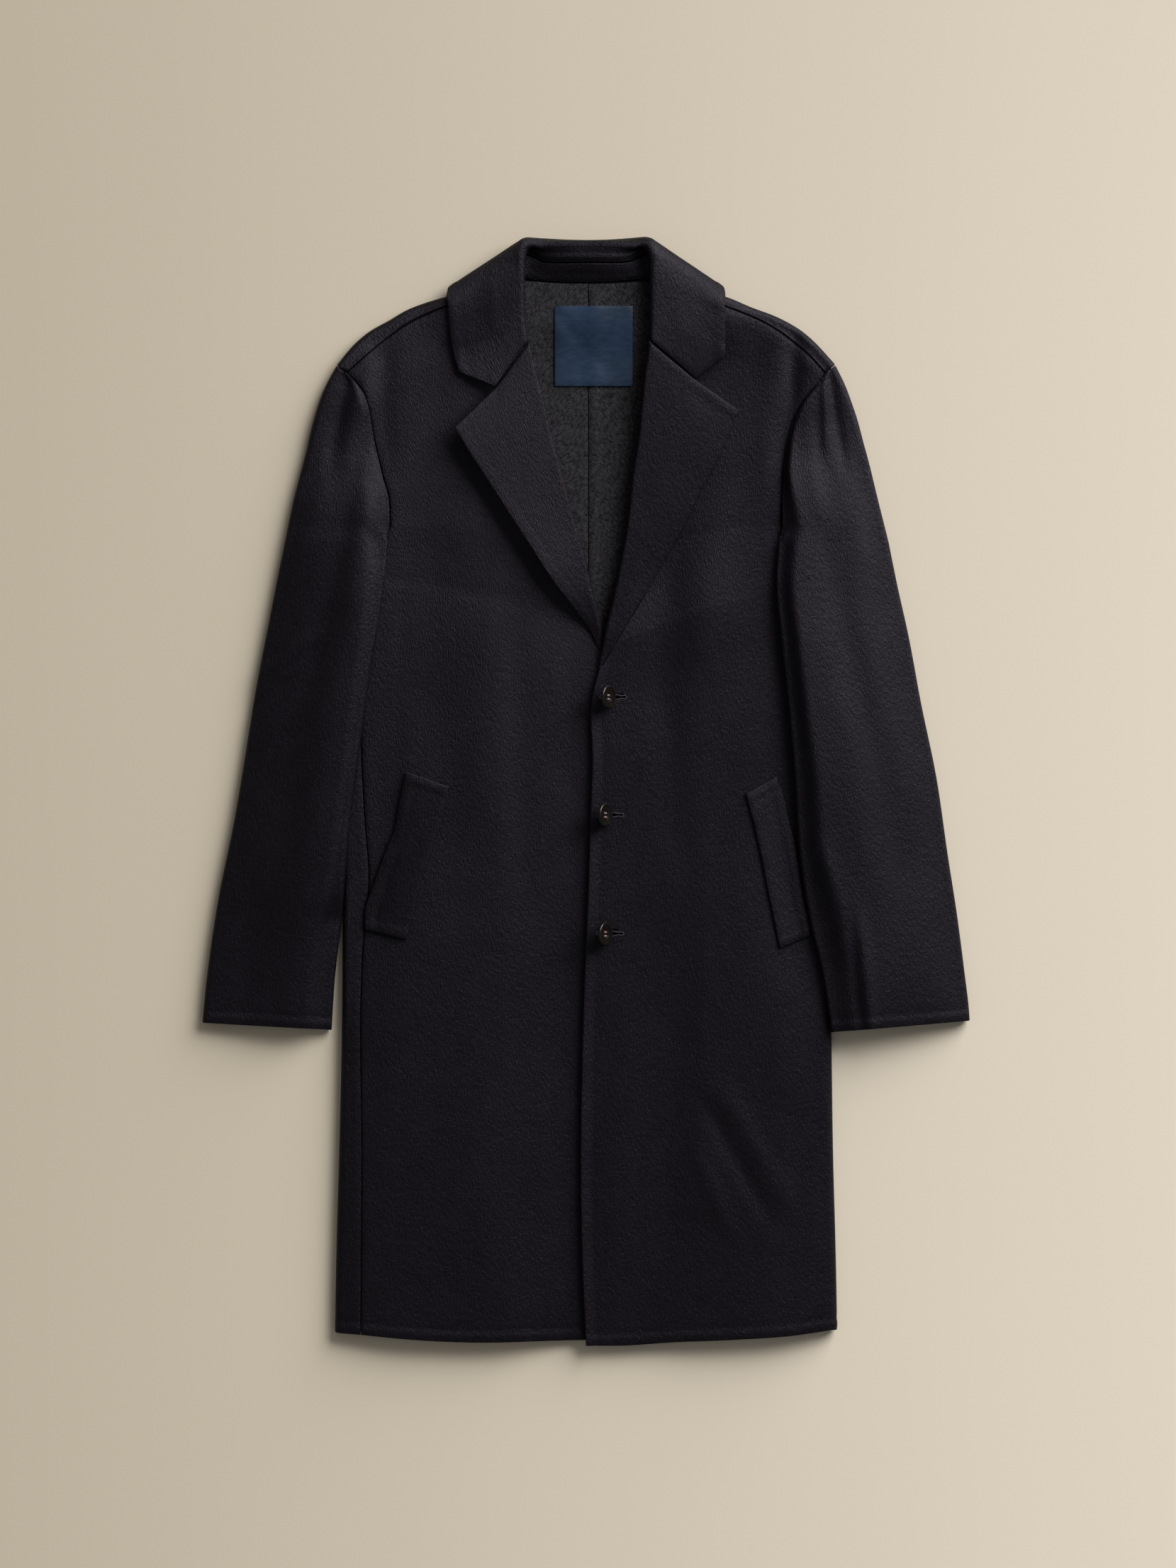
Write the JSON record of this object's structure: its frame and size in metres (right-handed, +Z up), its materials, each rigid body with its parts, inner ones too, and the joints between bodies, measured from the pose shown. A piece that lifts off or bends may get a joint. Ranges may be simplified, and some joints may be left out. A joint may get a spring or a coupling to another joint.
{
  "type": "wool overcoat",
  "caption": "Single-breasted wool overcoat with notched lapels, a turned-down collar, two-piece sleeves and slanted welt pockets, laid out flat on its back.",
  "frame": {"origin": "On the surface the coat lies on, below the middle of its outline.", "axes": "+X towards the wearer's left sleeve, +Y up the coat to the collar, +Z up from the surface; the coat lies on its back."},
  "size_m": [0.7572, 1.0926, 0.0341],
  "materials": {
    "navy_wool": "matt brushed wool, near-black navy",
    "charcoal_wool": "matt heathered charcoal twill, the inner face of the cloth",
    "navy_satin": "woven satin, slight sheen",
    "dark_horn": "polished dark horn",
    "black_thread": "matt sewing thread"
  },
  "bodies": {
    "root": {"back_left": "charcoal_wool", "back_right": "charcoal_wool", "button_1": "dark_horn", "button_2": "dark_horn", "button_3": "dark_horn", "collar_fall": "navy_wool", "collar_stand": "navy_wool", "front_left": "navy_wool", "front_right": "navy_wool", "lapel_left": "navy_wool", "lapel_right": "navy_wool", "neck_label": "navy_satin", "shank_1": "black_thread", "shank_2": "black_thread", "shank_3": "black_thread", "sleeve_top_left": "navy_wool", "sleeve_top_right": "navy_wool", "sleeve_under_left": "navy_wool", "sleeve_under_right": "navy_wool", "welt_left": "navy_wool", "welt_right": "navy_wool"}
  },
  "joints": []
}
